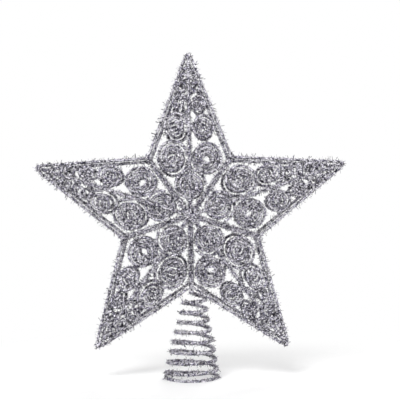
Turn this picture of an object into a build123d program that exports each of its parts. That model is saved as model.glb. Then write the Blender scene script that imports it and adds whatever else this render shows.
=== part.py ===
from build123d import *
import os
from copy import deepcopy
from math import asin, ceil, cos, pi, sin, sqrt, tan

# A treetop star: two raised wire halves set back to back on a conical spring.
# Lengths are in millimetres. X runs to the right, Y to the back and Z up, with the ground at Z zero.

# Outline of the star
tip_radius = 159.5  # star centre to where the front rims of an arm would meet
notch_radius = 68.5  # star centre to an inner corner of the front half
rim_nest = 3.4  # how far inside the front half's rims the back half's rims run
tip_setback = 6.5  # how far short of the rims' meeting point the blunt end of an arm has its weld bead
apex_depth = 27.0  # middle plane to the crown of each half
rim_gap = 0.5  # room between the two rims where they run side by side
arm_count = 5

# Straight wires, by diameter
rim_wire = 2.4
ridge_wire = 2.4
valley_wire = 1.9  # two of them lie side by side in each valley, one from each arm
valley_gap = 0.3  # room between those two

# Weld beads, by diameter, and the flat button at the crown
hub_width = 12.2
hub_height = 4.4
hub_round = 1.2  # radius of the button's edges
tip_bead = 5.6
spring_bead = 4.8

# Wound scrolls that fill the panels
scroll_wire = 2.4
scroll_pitch = 4.1  # from one turn to the next
scroll_eye_share = 0.22  # radius of the wire's axis at the inner end, of that at the outer end
scroll_room = 0.9  # least room between two turns of a small scroll
scroll_count = 6  # scrolls in one triangular panel
curl_share = 0.1  # how far a curl that is too small to wind closes in, of its radius
scroll_start = -90  # where a scroll's outer end lies, which is against the ridge
scroll_power = 1.03  # how much the turns spread towards the eye
panel_margin = 0.2  # room between a panel's scrolls and the wires around it
wide_scroll_share = 0.94  # place of the widest scroll, from crown to incentre
inner_reach_share = 0.185  # place of the inner scroll along the ridge
inner_size_share = 0.92  # its width, of the distance between two neighbours

# Conical spring
spring_wire = 2.8
spring_base = 50.2  # width across the wire's axis at the ground
spring_top = 17.0  # width across the wire's axis at the last turn
spring_rise = 81.4  # ground turn to top end, between the wire's axes
spring_turns = 9
flat_share = 0.76  # part of the first turn that lies flat on the ground
step_share = 0.3  # part of a turn over which the wire then steps up over its own start
step_climb = 5.2  # height of that step
ramp_share = 0.2  # part of a turn over which the even climb begins
spring_lean = 3.8  # sideways run of the spring's axis over its whole rise
spring_tilt = 4.5  # how far its turns dip to that side, in degrees
end_rise = 1.05  # extra climb of the last half turn
base_flat = 0.5  # depth of the flat on the underside of the ground turn

# Fits
weld_gap = 0.05  # between a wire's end and its weld bead
seat_gap = 0.15  # between two wires that lie against each other

rim_r = rim_wire / 2
ridge_r = ridge_wire / 2
valley_r = valley_wire / 2
scroll_r = scroll_wire / 2
spring_r = spring_wire / 2
hub_r = hub_width / 2
valley_offset = (valley_wire + valley_gap) / 2
valley_span = valley_offset + valley_r
tip_r = tip_bead / 2
spring_bead_r = spring_bead / 2
rim_depth = rim_r + rim_gap / 2
arm_half = pi / arm_count
rim_across = notch_radius * sin(arm_half)
rim_along = tip_radius - notch_radius * cos(arm_half)
rim_reach = tip_radius * rim_across / sqrt(rim_across**2 + rim_along**2)
nest_scales = {"front": 1, "back": 1 - rim_nest / rim_reach}
notch_inset = notch_radius * (1 - nest_scales["back"])
corner_span = sqrt(notch_inset**2 + (2 * rim_depth) ** 2)
corner_r = (corner_span - seat_gap) / 2
arm_step = 360 / arm_count
first_arm = 90

arm_names = ["top", "left", "lower_left", "lower_right", "right"]
notch_names = ["upper_left", "left", "bottom", "right", "upper_right"]
halves = {"front": -1, "back": 1}

os.makedirs("parts", exist_ok=True)


def turned(radius, degrees, depth, height):
    """A point of the star, by its radius and angle in the star's plane."""
    angle = degrees * pi / 180
    return Vector(radius * cos(angle), depth, height + radius * sin(angle))


def arc_chain(points, tangents):
    """Smooth chain of arcs, two to each step, through points with given directions."""
    edges = []
    for start, end, out, into in zip(points, points[1:], tangents, tangents[1:]):
        chord = end - start
        both = out + into
        bend = 2 * (1 - out.dot(into))
        run = chord.dot(both)
        reach = (sqrt(run * run + bend * chord.dot(chord)) - run) / bend
        near = start + out * reach
        far = end - into * reach
        middle = (near + far) * 0.5
        edges.append(Edge.make_tangent_arc(start, out, middle))
        edges.append(Edge.make_tangent_arc(middle, far - near, end))
    return edges


def least_room(edges, diameter):
    """Least room between parts of one wire that aren't next to each other."""
    points = []
    runs = []
    run = 0
    for edge in edges:
        steps = max(3, ceil(edge.length / diameter * 2))
        for k in range(steps):
            points.append(edge.position_at(k / steps))
            runs.append(run + edge.length * k / steps)
        run += edge.length
    points.append(edges[-1].position_at(1))
    runs.append(run)
    least = run
    for i, (here, at) in enumerate(zip(points, runs)):
        for there, away in zip(points[i + 1:], runs[i + 1:]):
            if away - at > 2.2 * diameter:
                least = min(least, (there - here).length - diameter)
    return least


def wound_wire(name, points, tangents, radius):
    """One unbroken round wire along a chain of arcs."""
    edges = arc_chain(points, tangents)
    print(f"{name}: least room between turns {least_room(edges, 2 * radius):.2f} mm")
    section = Plane(origin=points[0], z_dir=tangents[0]) * Circle(radius)
    return sweep(section, path=Wire(edges)).solid()


def rod(start, end, radius, start_trim, end_trim):
    """Straight round wire between two points, cut short at each end."""
    along = (end - start).normalized()
    foot = start + along * start_trim
    length = (end - start).length - start_trim - end_trim
    plane = Plane(origin=foot, z_dir=along)
    return Solid.make_cylinder(radius, length, plane)


def stop_at(start, end, radius, centre, bead_radius):
    """Length to cut off the end of a wire so that it stops against a weld bead."""
    along = (end - start).normalized()
    short = (end - centre).dot(along)
    miss = (centre - end + along * short).length
    near = max(0, miss - radius)
    return short + sqrt(max(0, (bead_radius + weld_gap) ** 2 - near * near))


def spoke(crown, end, aside, radius, end_trim):
    """Straight round wire from a crown's button to another bead, set aside from the line between them."""
    run = end - crown
    flat = Vector(run.X, 0, run.Z)
    rise = abs(run.Y) / run.length
    lean = flat.length / run.length
    start_trim = (hub_r + weld_gap + radius * rise) / lean
    sideways = flat.normalized().cross(Vector(0, 1, 0)) * aside
    return rod(crown + sideways, end + sideways, radius, start_trim, end_trim)


def button(crown, way):
    """Flat round button over the meeting point of the wires."""
    plane = Plane(origin=crown + Vector(0, way * ridge_r, 0), z_dir=Vector(0, -way, 0))
    disc = Solid.make_cylinder(hub_r, hub_height, plane)
    return disc.fillet(hub_round, disc.edges().filter_by(GeomType.CIRCLE)).solid()


def bead(centre, radius):
    """Round weld bead."""
    return Pos(centre.X, centre.Y, centre.Z) * Solid.make_sphere(radius, angle1=-90)


def spiral(name, outer_radius, hand):
    """Flat scroll that winds inwards to one hand, lying on the XY plane around the origin."""
    start = outer_radius - scroll_r
    depth = start - max(scroll_eye_share * start, scroll_r + scroll_room / 2)
    turns = depth / scroll_pitch
    if turns < 1.5:
        turns = depth / (scroll_wire + scroll_room)
    if turns < 1:
        turns = 1 - asin(min(1, (scroll_wire + scroll_room) / (2 * start))) / pi
        depth = curl_share * start
    steps = max(2, ceil(turns * 2))
    sweep_angle = 2 * pi * turns
    points = []
    tangents = []
    for k in range(steps + 1):
        done = k / steps
        angle = scroll_start * pi / 180 + hand * sweep_angle * done
        radius = start - depth * done**scroll_power
        fall = depth * scroll_power * done ** (scroll_power - 1) / sweep_angle
        outward = Vector(cos(angle), sin(angle), 0)
        sideways = Vector(-sin(angle), cos(angle), 0) * hand
        points.append(outward * radius)
        tangents.append((sideways * radius - outward * fall).normalized())
    return wound_wire(name, points, tangents, scroll_r)


def panel_layout(crown, tip, notch, wide_share):
    """Centres and radii of a panel's scrolls, along the ridge and square to it."""
    ridge = tip - crown
    length = ridge.length
    along = ridge.normalized()
    side = notch - crown
    notch_x = side.dot(along)
    notch_y = sqrt(side.dot(side) - notch_x * notch_x)
    rim_length = (tip - notch).length
    valley_length = side.length
    around = rim_length + valley_length + length
    centre_x = wide_share * (valley_length * length + length * notch_x) / around
    centre_y = (centre_x * notch_y + (ridge_r - valley_span) * valley_length) / (valley_length + notch_x)
    wide = centre_y - ridge_r - panel_margin
    layout = [(centre_x, centre_y, wide)]
    half = asin(notch_y / rim_length) / 2
    slope = sin(half)
    seat = max(ridge_r, rim_r) + panel_margin
    step_x = -cos(half)
    step_y = slope
    from_x = length - centre_x
    from_y = -centre_y
    reach = wide - seat + seat_gap
    square = 1 - slope * slope
    middle = from_x * step_x + from_y * step_y - reach * slope
    rest = from_x**2 + from_y**2 - reach**2
    out = (-middle - sqrt(middle * middle - square * rest)) / square
    while len(layout) < scroll_count and out * slope - seat > scroll_wire:
        layout.append((length + out * step_x, out * step_y, out * slope - seat))
        out = (out * (1 - slope) + 2 * seat - seat_gap) / (1 + slope)
    return layout


def spring_point(turn):
    """Axis of the spring's wire after so many turns from the ground."""
    pitch = (spring_rise - step_climb - end_rise) / (spring_turns - 1 - ramp_share / 2)
    climb = max(0, turn - 1)
    if climb < ramp_share:
        height = pitch * climb * climb / (2 * ramp_share)
    else:
        height = pitch * (climb - ramp_share / 2)
    step = min(1, max(0, (turn - flat_share) / step_share))
    height += step_climb * step * step * (3 - 2 * step)
    last = min(1, max(0, 2 * (turn - spring_turns) + 1))
    height += end_rise * last * last
    cone = max(0, turn - 1) / (spring_turns - 1)
    radius = spring_base / 2 + (spring_top - spring_base) / 2 * cone
    settled = min(1, max(0, (turn - flat_share) / 2))
    lean = spring_lean / spring_rise * settled
    hook = max(0, turn - spring_turns + 1)
    hook_out = (spring_top / 2 - spring_lean) * hook * hook
    angle = pi + 2 * pi * (turn - spring_turns)
    out = radius * cos(angle)
    dip = tan(spring_tilt * pi / 180) * settled * out
    return Vector(lean * height + hook_out + out, radius * sin(angle), height - dip)


def spring_course():
    """Points on the spring's axis at each quarter turn, with the wire's directions."""
    steps = 4 * spring_turns
    points = []
    tangents = []
    nudge = 0.001
    for k in range(steps + 1):
        turn = k / 4
        points.append(spring_point(turn))
        ahead = spring_point(turn + nudge)
        behind = spring_point(turn - nudge)
        tangents.append((ahead - behind).normalized())
    return points, tangents


def save(name, solids):
    """One named piece, or one named group of alike pieces."""
    export_step(Compound(children=solids, label=name), f"parts/{name}.step")
    print(f"{name}: {len(solids)} solid(s)")


# Conical spring, moved so that its top end meets the weld bead under the lower corner
course, headings = spring_course()
ball = course[-1] + headings[-1] * (spring_bead_r + weld_gap)
lift = spring_r - base_flat
shift = Vector(-ball.X, -rim_depth - ball.Y, lift)
course = [point + shift for point in course]
ball = ball + shift
spring = wound_wire("conical_spring", course, headings, spring_r)
below = Pos(0, 0, -spring_wire) * Box(2 * spring_base, 2 * spring_base, 2 * spring_wire)
spring = (spring - below).solids().sort_by(SortBy.VOLUME)[-1]
save("conical_spring", [spring])
save("spring_weld", [bead(ball, spring_bead_r)])

# The star stands on that bead by the lower corner of its front half
lower_corner = ball.Z + spring_bead_r + weld_gap + corner_r
star_z = lower_corner + notch_radius
tips = {}
tip_welds = {}
crowns = {}
notches = {}
for half, way in halves.items():
    size = nest_scales[half]
    crowns[half] = Vector(0, way * apex_depth, star_z)
    tips[half] = []
    tip_welds[half] = []
    notches[half] = []
    for k in range(arm_count):
        arm_angle = first_arm + k * arm_step
        notch_angle = arm_angle + arm_step / 2
        tips[half].append(turned(tip_radius * size, arm_angle, way * rim_depth, star_z))
        tip_welds[half].append(turned(tip_radius * size - tip_setback, arm_angle, way * rim_depth, star_z))
        notches[half].append(turned(notch_radius * size, notch_angle, way * rim_depth, star_z))

# Weld beads and buttons
for half in halves:
    save(f"{half}_tip_welds", [bead(centre, tip_r) for centre in tip_welds[half]])
    save(f"{half}_hub", [button(crowns[half], halves[half])])
bottom = notch_names.index("bottom")
upper_notches = [point for k, point in enumerate(notches["front"]) if k != bottom]
save("lower_corner_weld", [bead(notches["front"][bottom], corner_r)])
save("front_corner_welds", [bead(point, corner_r) for point in upper_notches])
save("back_corner_welds", [bead(point, corner_r) for point in notches["back"]])

# Straight wires of each half
for half in halves:
    crown = crowns[half]
    for k in range(arm_count):
        tip = tips[half][k]
        weld = tip_welds[half][k]
        sides = [notches[half][k], notches[half][k - 1]]
        rims = []
        for side in sides:
            rims.append(rod(side, tip, rim_r, corner_r + weld_gap, stop_at(side, tip, rim_r, weld, tip_r)))
        save(f"{half}_rim_{arm_names[k]}", rims)
        ridge_trim = stop_at(crown, tip, ridge_r, weld, tip_r)
        save(f"{half}_ridge_{arm_names[k]}", [spoke(crown, tip, 0, ridge_r, ridge_trim)])
        pair = []
        for aside in [-valley_offset, valley_offset]:
            pair.append(spoke(crown, sides[0], aside, valley_r, corner_r + weld_gap))
        save(f"{half}_valley_{notch_names[k]}", pair)

# Scrolls: a panel's lie flat in it, an inner scroll lies under each ridge, and all of a half wind alike
for half, way in halves.items():
    crown = crowns[half]
    layout = panel_layout(crown, tips[half][0], notches[half][0], wide_scroll_share)
    shapes = {}
    for hand in [-way, way]:
        label = f"{half} scroll to hand {hand}"
        shapes[hand] = [spiral(f"{label}, {n + 1}", size, hand) for n, (x, y, size) in enumerate(layout)]
    ridge_length = (tips[half][0] - crown).length
    inner_reach = inner_reach_share * ridge_length
    inner_radius = inner_size_share * inner_reach * sin(pi / arm_count)
    inner_shape = spiral(f"{half} inner scroll", inner_radius, 1)
    for k in range(arm_count):
        along = (tips[half][k] - crown).normalized()
        scrolls = []
        for notch, hand in [(notches[half][k], -way), (notches[half][k - 1], way)]:
            panel = Plane(origin=crown, x_dir=along, z_dir=along.cross(notch - crown))
            for shape, (x, y, size) in zip(shapes[hand], layout):
                scrolls.append(deepcopy(shape).moved(panel.location * Pos(x, y, 0)))
        save(f"{half}_scrolls_{arm_names[k]}", scrolls)
        across = Vector(0, way, 0).cross(along)
        outward = along.cross(across).normalized()
        under = Plane(origin=crown, x_dir=along, z_dir=outward)
        sunk = ridge_r + scroll_r + seat_gap
        inner = inner_shape.moved(under.location * Pos(inner_reach, 0, -sunk))
        save(f"{half}_inner_scroll_{arm_names[k]}", [inner])
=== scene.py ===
import math
from collections import namedtuple

import bmesh
import bpy
import numpy as np
from mathutils import Matrix, Vector


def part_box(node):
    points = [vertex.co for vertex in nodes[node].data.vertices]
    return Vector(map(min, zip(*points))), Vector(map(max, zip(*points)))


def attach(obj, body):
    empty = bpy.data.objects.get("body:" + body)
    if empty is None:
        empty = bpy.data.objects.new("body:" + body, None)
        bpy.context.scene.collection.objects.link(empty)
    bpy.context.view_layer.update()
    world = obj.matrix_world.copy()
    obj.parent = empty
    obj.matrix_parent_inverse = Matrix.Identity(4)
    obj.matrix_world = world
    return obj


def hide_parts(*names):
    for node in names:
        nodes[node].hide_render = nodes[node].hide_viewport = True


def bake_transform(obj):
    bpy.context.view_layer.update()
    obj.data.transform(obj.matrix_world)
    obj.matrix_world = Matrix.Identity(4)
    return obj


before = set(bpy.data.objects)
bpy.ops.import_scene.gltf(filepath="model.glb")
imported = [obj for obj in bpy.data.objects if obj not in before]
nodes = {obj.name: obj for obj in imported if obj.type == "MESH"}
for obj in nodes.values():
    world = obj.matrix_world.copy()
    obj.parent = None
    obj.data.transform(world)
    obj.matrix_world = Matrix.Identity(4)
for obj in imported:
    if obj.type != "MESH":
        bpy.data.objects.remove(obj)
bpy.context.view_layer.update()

scene = bpy.context.scene

MM = 0.001  # Blender's lengths are metres, so a length in millimetres is multiplied by this
ARMS = ("top", "left", "lower_left", "lower_right", "right")
CORNERS = ("upper_left", "left", "bottom", "right", "upper_right")
NECK_BEADS = ("spring_weld", "lower_corner_weld")
STAR_WELDS = (
    "front_hub", "back_hub",
    "front_corner_welds", "back_corner_welds",
    "front_tip_welds", "back_tip_welds",
)

# Seeds of the random draws
FIRST_ARM_SEED = 11
STAR_WELDS_SEED = 31
NECK_BEAD_SEEDS = (32, 33)
SPRING_SEED = 34


# Materials

# Colours of the flakes on the wires and of the loose chips, by a number from 0 to 1 that each has.
# These are partly the glitter's own tone, and at the near-black and near-white ends painted light:
# dark reflections and glints painted into the colour.
FLAKE_TONES_WITH_PAINTED_GLINTS = (
    (0.22, (0.014, 0.012, 0.022)),
    (0.38, (0.088, 0.080, 0.128)),
    (0.50, (0.335, 0.315, 0.41)),
    (0.62, (0.73, 0.705, 0.81)),
    (0.74, (0.97, 0.95, 1.0)),
)
# Chip colours: partly own tone, partly painted dark reflections and painted white glints
CHIP_TONES_WITH_PAINTED_GLINTS = (
    (0.00, (0.010, 0.009, 0.015)),
    (0.28, (0.026, 0.022, 0.042)),
    (0.38, (0.09, 0.082, 0.13)),
    (0.45, (0.21, 0.18, 0.33)),
    (0.50, (0.29, 0.31, 0.42)),
    (0.55, (0.48, 0.45, 0.41)),
    (0.60, (0.57, 0.53, 0.71)),
    (0.68, (0.87, 0.85, 0.94)),
    (0.76, (0.975, 0.955, 1.0)),
)
METALLIC = 0.3
CHIP_ROUGHNESS = (0.34, 0.16)  # of the darkest and of the lightest chip
FLAKE_TILT = 0.9  # how far a flake's normal leaves the wire's
FLAKE_SHARE = 0.8  # of the number that gives the colour
DUST_SHARE = 0.2
DUST_SIZE = 0.45  # of a flake's size
PATCHES_PER_M = 90.0  # scale of the slow change of shade along the wires
PATCH_DETAIL = 2.0
PATCH_NOISE = (0.3, 0.7)
PATCH_SHADE = (0.82, 1.1)
MIX_A, MIX_B, MIX_RESULT = 6, 7, 2  # colour sockets of a Mix node


def add(tree, kind, values, operation=None):
    """A new shader node. A value is set on its input, or linked to it where it is a socket."""
    node = tree.nodes.new("ShaderNode" + kind)
    if operation:
        node.operation = operation
    for key, value in values.items():
        if isinstance(value, bpy.types.NodeSocket):
            tree.links.new(value, node.inputs[key])
        else:
            node.inputs[key].default_value = value
    return node


def empty_material(name):
    """A material with an empty node tree."""
    material = bpy.data.materials.new(name)
    material.use_nodes = True
    material.node_tree.nodes.clear()
    return material, material.node_tree


def metal_material(name):
    """A material with its Principled shader and its output."""
    material, tree = empty_material(name)
    shader = add(tree, "BsdfPrincipled", {"Metallic": METALLIC})
    add(tree, "OutputMaterial", {"Surface": shader.outputs["BSDF"]})
    return material, tree, shader


def colour_of(tree, tones, number):
    """Colour that a number picks from a row of tones."""
    ramp = add(tree, "ValToRGB", {"Fac": number})
    stops = ramp.color_ramp.elements
    for stop, (position, colour) in zip(stops, (tones[0], tones[-1])):
        stop.position, stop.color = position, (*colour, 1)
    for position, colour in tones[1:-1]:
        stops.new(position).color = (*colour, 1)
    return ramp.outputs["Color"]


def roughness_of(tree, limits, number):
    """Roughness between two limits by a number from 0 to 1."""
    gloss = add(tree, "MapRange", {"Value": number, "To Min": limits[0], "To Max": limits[1]})
    return gloss.outputs["Result"]


def glitter_material(name, flake_mm, roughness):
    """Wire under a coat of glitter: packed flakes with dust in them, each flake with its own tone,
    tilt and gloss. The tones run from a painted dark reflection to a painted white glint, besides
    the glitter's own colour."""
    material, tree, shader = metal_material(name)
    place = add(tree, "TexCoord", {}).outputs["Object"]
    flakes = add(tree, "TexVoronoi", {"Vector": place, "Scale": 1000 / flake_mm})
    dust = add(tree, "TexVoronoi", {"Vector": place, "Scale": 1000 / (DUST_SIZE * flake_mm)})
    patches = add(
        tree, "TexNoise", {"Vector": place, "Scale": PATCHES_PER_M, "Detail": PATCH_DETAIL}
    )
    flake = add(tree, "SeparateColor", {"Color": flakes.outputs["Color"]}).outputs
    speck = add(tree, "SeparateColor", {"Color": dust.outputs["Color"]}).outputs

    grain = add(tree, "Math", {0: speck["Green"], 1: DUST_SHARE}, "MULTIPLY")
    number = add(
        tree, "Math", {0: flake["Red"], 1: FLAKE_SHARE, 2: grain.outputs["Value"]}, "MULTIPLY_ADD"
    )
    shade = add(tree, "MapRange", {
        "Value": patches.outputs["Fac"],
        "From Min": PATCH_NOISE[0], "From Max": PATCH_NOISE[1],
        "To Min": PATCH_SHADE[0], "To Max": PATCH_SHADE[1],
    })
    shaded = add(tree, "Mix", {"Factor": 1.0})
    shaded.data_type = "RGBA"
    shaded.blend_type = "MULTIPLY"
    # Flake colour: own tone plus painted glints and painted dark reflections
    tree.links.new(colour_of(tree, FLAKE_TONES_WITH_PAINTED_GLINTS, number.outputs["Value"]), shaded.inputs[MIX_A])
    tree.links.new(shade.outputs["Result"], shaded.inputs[MIX_B])
    tree.links.new(shaded.outputs[MIX_RESULT], shader.inputs["Base Color"])

    lean = add(tree, "VectorMath", {0: flakes.outputs["Color"], 1: (0.5, 0.5, 0.5)}, "SUBTRACT")
    leaning = add(tree, "VectorMath", {
        0: lean.outputs["Vector"],
        1: (FLAKE_TILT, FLAKE_TILT, FLAKE_TILT),
        2: add(tree, "NewGeometry", {}).outputs["Normal"],
    }, "MULTIPLY_ADD")
    facing = add(tree, "VectorMath", {0: leaning.outputs["Vector"]}, "NORMALIZE")
    tree.links.new(facing.outputs["Vector"], shader.inputs["Normal"])
    tree.links.new(roughness_of(tree, roughness, flake["Blue"]), shader.inputs["Roughness"])
    return material


def foil_material(name):
    """Loose glitter foil: each chip has its own tone, from dark to white, and its own gloss; the
    darkest and whitest chips are painted dark reflections and painted glints.
    """
    material, tree, shader = metal_material(name)
    chip = add(tree, "Attribute", {})
    chip.attribute_name = "tone"
    tone = chip.outputs["Fac"]
    # Chip colour: own tone plus painted glints and painted dark reflections
    tree.links.new(colour_of(tree, CHIP_TONES_WITH_PAINTED_GLINTS, tone), shader.inputs["Base Color"])
    tree.links.new(roughness_of(tree, CHIP_ROUGHNESS, tone), shader.inputs["Roughness"])
    return material


scroll_glitter = glitter_material("scroll_glitter", 1.15, (0.16, 0.42))
frame_glitter = glitter_material("frame_glitter", 1.2, (0.14, 0.40))
weld_glitter = glitter_material("weld_glitter", 1.2, (0.18, 0.45))
spring_glitter = glitter_material("spring_glitter", 1.2, (0.16, 0.42))
foil = foil_material("glitter_foil")

for node, obj in nodes.items():
    if "scroll" in node:
        glitter = scroll_glitter
    elif "weld" in node or "hub" in node:
        glitter = weld_glitter
    elif node == "conical_spring":
        glitter = spring_glitter
    else:
        glitter = frame_glitter
    obj.data.materials.clear()
    obj.data.materials.append(glitter)


# Loose glitter: chips that lie on the wires and slivers that stand out from them

# For each kind of wire: chips to a square millimetre, their reach in millimetres and how light they
# are, slivers to a square millimetre and their length in millimetres. The rim chips, and less so
# those on the other frame wires, are made lighter: painted light that offsets the shade these wires
# lie in.
Coat = namedtuple("Coat", "chips chip_reach chip_light slivers sliver_length")
COATS = {
    "scroll": Coat(0.55, (0.6, 1.2), 0.55, 0.22, (1.2, 3.2)),
    # Rim chips lighter than the rest: painted light against the shade on the back rim
    "rim": Coat(0.65, (0.6, 1.2), 0.9, 0.28, (1.2, 5.0)),
    "spring": Coat(0.75, (0.65, 1.3), 0.5, 0.16, (1.2, 3.6)),
    "neck": Coat(0.9, (0.5, 0.9), 0.5, 0.0, (1.0, 1.0)),
    "other": Coat(0.65, (0.6, 1.15), 0.65, 0.50, (1.2, 3.6)),
}
CHIP_DARK = 0.45  # second number of the chips' beta distribution of tones
SLIVER_TONES = (0.55, 0.6)  # both numbers of the slivers'
CHIP_TILT = 0.8
CHIP_LIFT = 0.10  # mm from the wire to the middle of a chip
CHIP_PEAK = 0.22  # of its reach
SLIVER_SPREAD = 0.7
SLIVER_HALF_WIDTH = (0.22, 0.36)  # mm
SLIVER_ROOT = 0.3  # mm inside the wire
FLOOR_ROOM = 0.15  # mm from the floor to the lowest chip
SOLID_FACES = np.array([[0, 2, 1], [0, 1, 3], [1, 2, 3], [2, 0, 3]])
MAP_START, MAP_SPAN = 0.01, 0.97
MAP_SPREAD = np.array([[0, 0], [0, 1], [1, 0], [1, 1]]) * 0.008

# The star turns about the neck, where only the flat sides of the beads have chips
NECK = np.array(sum(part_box("spring_weld"), Vector()) / 2)
NECK_CLEAR = 7.5 * MM
BEAD_FLAT = 0.75  # least depth of the normal on a bead's flat side


def unit(vectors):
    """Vectors of length 1."""
    return vectors / np.maximum(np.linalg.norm(vectors, axis=1, keepdims=True), 1e-12)


def new_object(name, mesh):
    """An object in the scene."""
    obj = bpy.data.objects.new(name, mesh)
    scene.collection.objects.link(obj)
    return obj


def triangles(mesh):
    """Corners of each triangle of a mesh, as an array."""
    mesh.calc_loop_triangles()
    corners = np.empty(len(mesh.loop_triangles) * 3, np.int32)
    mesh.loop_triangles.foreach_get("vertices", corners)
    points = np.empty(len(mesh.vertices) * 3, np.float32)
    mesh.vertices.foreach_get("co", points)
    return points.reshape(-1, 3).astype(float)[corners.reshape(-1, 3)]


def scatter(mesh, per_mm2, rng):
    """Random points on a mesh with their normals, evenly by area."""
    corners = triangles(mesh)
    normal = np.cross(corners[:, 1] - corners[:, 0], corners[:, 2] - corners[:, 0])
    area = np.linalg.norm(normal, axis=1) / 2
    count = int(area.sum() / MM**2 * per_mm2)
    which = rng.choice(len(area), count, p=area / area.sum())
    a, b = rng.random((2, count, 1))
    flip = a + b > 1
    a, b = np.where(flip, 1 - a, a), np.where(flip, 1 - b, b)
    c = corners[which]
    points = c[:, 0] + (c[:, 1] - c[:, 0]) * a + (c[:, 2] - c[:, 0]) * b
    return points, unit(normal[which])


def odd_axes(normals, spread, rng):
    """Three axes at right angles for each point, the first near its normal."""
    count = len(normals)
    out = unit(normals + spread * unit(rng.normal(size=(count, 3))))
    side = unit(np.cross(out, unit(rng.normal(size=(count, 3)))))
    return out, side, np.cross(out, side)


def chip_solids(points, normals, reach_mm, rng):
    """Small closed foil chips, four faces each, that lie on the surface at odd angles."""
    up, side, other = odd_axes(normals, CHIP_TILT, rng)
    reach = rng.uniform(*reach_mm, (len(points), 1)) * MM
    middle = points + normals * CHIP_LIFT * MM
    ring = []
    for k in range(3):
        angle = 2 * math.pi * k / 3
        ring.append(middle + (side * math.cos(angle) + other * math.sin(angle)) * reach)
    return np.stack([*ring, middle + up * reach * CHIP_PEAK], axis=1)


def sliver_solids(points, normals, length_mm, rng):
    """Thin closed slivers of foil, four faces each, that stand out from the wire."""
    out, side, other = odd_axes(normals, SLIVER_SPREAD, rng)
    length = rng.uniform(*length_mm, (len(points), 1)) * MM
    half = rng.uniform(*SLIVER_HALF_WIDTH, (len(points), 1)) * MM
    foot = points - normals * SLIVER_ROOT * MM
    tip = foot + out * length
    corners = [foot - side * half, foot + side * half, tip - other * half, tip + other * half]
    return np.stack(corners, axis=1)


def coat_kind(node):
    """Kind of loose glitter that a CAD node has."""
    if node in NECK_BEADS:
        return "neck"
    if node == "conical_spring":
        return "spring"
    return next((kind for kind in ("scroll", "rim") if kind in node), "other")


def off_neck(points):
    """Which points lie away from the neck."""
    return np.linalg.norm(points - NECK, axis=1) > NECK_CLEAR


def coat(members, seed):
    """Loose glitter for some CAD nodes: its solids, their tones and the random draws so far."""
    rng = np.random.default_rng(seed)
    solids = []
    tones = []
    for node in members:
        kind = coat_kind(node)
        layer = COATS[kind]
        mesh = nodes[node].data
        points, normals = scatter(mesh, layer.chips, rng)
        if kind == "neck":
            kept = np.abs(normals[:, 1]) > BEAD_FLAT
            points, normals = points[kept], normals[kept]
        elif kind != "spring":
            kept = off_neck(points)
            points, normals = points[kept], normals[kept]
        solids.append(chip_solids(points, normals, layer.chip_reach, rng))
        # Chip tones; on the rims and other frame wires they are lightened as painted light against
        # shade
        tones.append(rng.beta(layer.chip_light, CHIP_DARK, len(points)))
        points, normals = scatter(mesh, layer.slivers, rng)
        kept = off_neck(points)
        points, normals = points[kept], normals[kept]
        solids.append(sliver_solids(points, normals, layer.sliver_length, rng))
        tones.append(rng.beta(*SLIVER_TONES, len(points)))
    return np.concatenate(solids), np.concatenate(tones), rng


def foil_object(name, solids, tone, rng):
    """One piece from many closed four-sided solids, each with its tone."""
    kept = solids[:, :, 2].min(axis=1) > FLOOR_ROOM * MM
    solids, tone = solids[kept], tone[kept]
    count = len(solids)
    index = (np.arange(count)[:, None, None] * 4 + SOLID_FACES[None]).reshape(-1)
    mesh = bpy.data.meshes.new(name)
    mesh.vertices.add(count * 4)
    mesh.vertices.foreach_set("co", solids.astype(np.float32).reshape(-1))
    mesh.loops.add(len(index))
    mesh.loops.foreach_set("vertex_index", index.astype(np.int32))
    mesh.polygons.add(count * 4)
    mesh.polygons.foreach_set("loop_start", np.arange(0, len(index), 3, dtype=np.int32))
    shade = mesh.attributes.new("tone", "FLOAT", "POINT")
    shade.data.foreach_set("value", np.repeat(tone, 4).astype(np.float32))
    # A solid's place on the map is its tone across and chance up: a plain strip of tones
    place = MAP_START + MAP_SPAN * np.stack([tone, rng.random(count)], axis=1)
    flat = (place[:, None] + MAP_SPREAD[None]).reshape(-1, 2)[index]
    layer = mesh.uv_layers.new(name="OFBake")
    layer.uv.foreach_set("vector", flat.astype(np.float32).reshape(-1))
    mesh.materials.append(foil)
    mesh.update(calc_edges=True)
    return new_object(name, mesh)


seed = FIRST_ARM_SEED
for half in ("front", "back"):
    for arm, corner in zip(ARMS, CORNERS):
        kinds = ("rim", "ridge", "scrolls", "inner_scroll")
        members = [*(f"{half}_{kind}_{arm}" for kind in kinds), f"{half}_valley_{corner}"]
        piece = foil_object(f"glitter_{half}_{arm}", *coat(members, seed))
        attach(piece, "star")
        seed += 1
piece = foil_object("glitter_welds", *coat(STAR_WELDS, STAR_WELDS_SEED))
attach(piece, "star")
for node, body, seed in zip(NECK_BEADS, ("spring_head", "star_pivot"), NECK_BEAD_SEEDS):
    piece = foil_object(f"glitter_{node}", *coat([node], seed))
    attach(piece, body)


# Spring: the real spring shortens below, and above that its turns bend with the star, first as it
# nods and then as it leans. Here its wire and loose glitter are cut by height into three stretches.

STRETCHES = (
    ("low", "spring", "spring_head", 6 * MM, 66 * MM),
    ("middle", "spring_head", "star_pivot", 66 * MM, 73 * MM),
    ("top", "star_pivot", "star", 73 * MM, 80 * MM),
)
SAME_POINT = 0.001 * MM


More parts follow.
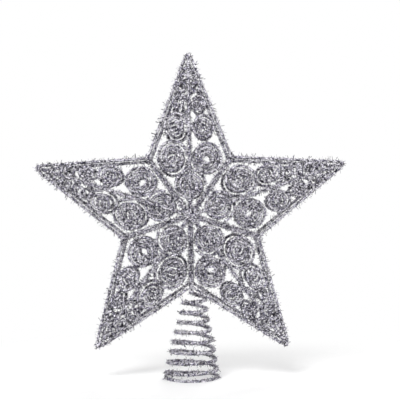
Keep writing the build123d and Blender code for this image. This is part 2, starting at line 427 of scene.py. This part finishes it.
def stretch_of_wire(name, low, high):
    """Stretch of the spring's wire between two heights, closed where it is cut."""
    form = bmesh.new()
    form.from_mesh(nodes["conical_spring"].data)
    bmesh.ops.remove_doubles(form, verts=form.verts, dist=SAME_POINT)
    for height, way in ((low, -1), (high, 1)):
        cut = bmesh.ops.bisect_plane(
            form,
            geom=[*form.verts, *form.edges, *form.faces],
            plane_co=(0, 0, height),
            plane_no=(0, 0, way),
            clear_outer=True,
        )
        edges = [edge for edge in cut["geom_cut"] if isinstance(edge, bmesh.types.BMEdge)]
        if edges:
            bmesh.ops.edgeloop_fill(form, edges=edges)
    bmesh.ops.triangulate(form, faces=form.faces)
    for face in form.faces:
        face.smooth = True
    mesh = bpy.data.meshes.new(name)
    form.to_mesh(mesh)
    form.free()
    mesh.materials.append(spring_glitter)
    return new_object(name, mesh)


spring_low, spring_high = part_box("conical_spring")
solids, tones, rng = coat(["conical_spring"], SPRING_SEED)
heights = solids[:, :, 2].mean(axis=1)
for name, before, after, start, end in STRETCHES:
    low = spring_low.z - MM if name == "low" else start
    high = spring_high.z + MM if name == "top" else end
    wire = stretch_of_wire(f"spring_wire_{name}", low, high)
    here = (heights >= low) & (heights < high)
    loose = foil_object(f"spring_foil_{name}", solids[here], tones[here], rng)
    for piece in (wire, loose):
        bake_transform(piece)
    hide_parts("conical_spring")


# Studio: a white floor that fades into a white world, and three soft lights

FLOOR_RADIUS = 0.6
FLOOR_CORNERS = 96
FLOOR_COLOUR = (0.85, 0.85, 0.85, 1)
FLOOR_GLOW = 0.2
FADE_START, FADE_END = 0.1, 0.35  # distances from the middle at which the floor turns white
WORLD_LIGHT = 0.5
WHITE = 1.0  # strength that shows as white
LIGHT_TARGET = Vector((0, 0, 0.16))
LIGHTS = (  # place, width and power
    ("key", (-0.45, -1.0, 1.25), 0.7, 13.5),
    ("fill", (0.95, -0.9, 0.3), 0.8, 3.5),
    ("back", (0.35, 1.1, 1.0), 0.8, 7.0),
)


def shown_or_lighting(tree, lighting, shown):
    """One shader for rays that light the object, and one for rays that show the surroundings."""
    path = add(tree, "LightPath", {}).outputs
    seen = add(tree, "Math", {0: path["Is Camera Ray"], 1: path["Is Glossy Ray"]}, "MAXIMUM")
    seen = add(
        tree, "Math", {0: seen.outputs["Value"], 1: path["Is Transmission Ray"]}, "MAXIMUM"
    )
    choose = add(tree, "MixShader", {"Fac": seen.outputs["Value"], 1: lighting, 2: shown})
    return choose.outputs["Shader"]


def floor_material():
    """Plain pale floor that keeps the soft shadow of what stands on it and fades to white."""
    material, tree = empty_material("studio_floor")
    matt = add(tree, "BsdfDiffuse", {"Color": FLOOR_COLOUR}).outputs["BSDF"]
    glow = add(tree, "Emission", {"Strength": FLOOR_GLOW}).outputs["Emission"]
    lit = add(tree, "AddShader", {0: matt, 1: glow}).outputs["Shader"]
    white = add(tree, "Emission", {"Strength": WHITE}).outputs["Emission"]
    place = add(tree, "TexCoord", {}).outputs["Object"]
    away = add(tree, "VectorMath", {0: place}, "LENGTH").outputs["Value"]
    fade = add(tree, "MapRange", {"Value": away, "From Min": FADE_START, "From Max": FADE_END})
    fade.interpolation_type = "SMOOTHSTEP"
    shown = add(tree, "MixShader", {"Fac": fade.outputs["Result"], 1: lit, 2: white})
    surface = shown_or_lighting(tree, matt, shown.outputs["Shader"])
    add(tree, "OutputMaterial", {"Surface": surface})
    return material


def floor_disc(name):
    """Flat round floor."""
    ring = [2 * math.pi * k / FLOOR_CORNERS for k in range(FLOOR_CORNERS)]
    points = [(FLOOR_RADIUS * math.cos(a), FLOOR_RADIUS * math.sin(a), 0) for a in ring]
    mesh = bpy.data.meshes.new(name)
    mesh.from_pydata(points, [], [range(FLOOR_CORNERS)])
    mesh.materials.append(floor_material())
    return new_object(name, mesh)


def studio_world():
    """World that lights the object softly and shows as white."""
    world = bpy.data.worlds.new("studio")
    world.use_nodes = True
    tree = world.node_tree
    tree.nodes.clear()
    soft, white = (
        add(tree, "Background", {"Color": (1, 1, 1, 1), "Strength": strength}).outputs["Background"]
        for strength in (WORLD_LIGHT, WHITE)
    )
    add(tree, "OutputWorld", {"Surface": shown_or_lighting(tree, soft, white)})
    return world


def area_light(name, place, width, power):
    """Round soft light that points at the object."""
    lamp = bpy.data.lights.new(name, "AREA")
    lamp.shape = "DISK"
    lamp.size = width
    lamp.energy = power
    obj = new_object(name, lamp)
    obj.location = place
    obj.rotation_mode = "QUATERNION"
    obj.rotation_quaternion = (LIGHT_TARGET - Vector(place)).to_track_quat("-Z", "Y")


floor = floor_disc("floor")
scene.world = studio_world()
for light in LIGHTS:
    area_light(*light)


# Camera: the photograph is a square, taken nearly level with the star and turned a little

PICTURE = 400  # pixels
PIXEL = 0.9634 * MM  # at the star
ASIDE, ABOVE = 9.85, 15.2  # pixels from the star's middle to the picture's
ROLL = math.radians(0.82)
DISTANCE = 0.95
SENSOR = 36.0

hub_low, hub_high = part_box("front_hub")
star_z = hub_low.z * 0.5 + hub_high.z * 0.5
lens = bpy.data.cameras.new("camera")
lens.sensor_width = SENSOR
lens.lens = SENSOR * DISTANCE / (PICTURE * PIXEL)
lens.clip_start = 0.05
lens.clip_end = 50.0
camera = new_object("camera", lens)
camera.location = (ASIDE * PIXEL, -DISTANCE, star_z + ABOVE * PIXEL)
camera.rotation_mode = "QUATERNION"
level = Matrix.Rotation(math.radians(90), 3, "X")
camera.rotation_quaternion = (level @ Matrix.Rotation(-ROLL, 3, "Z")).to_quaternion()
scene.camera = camera

scene.view_settings.view_transform = "Standard"
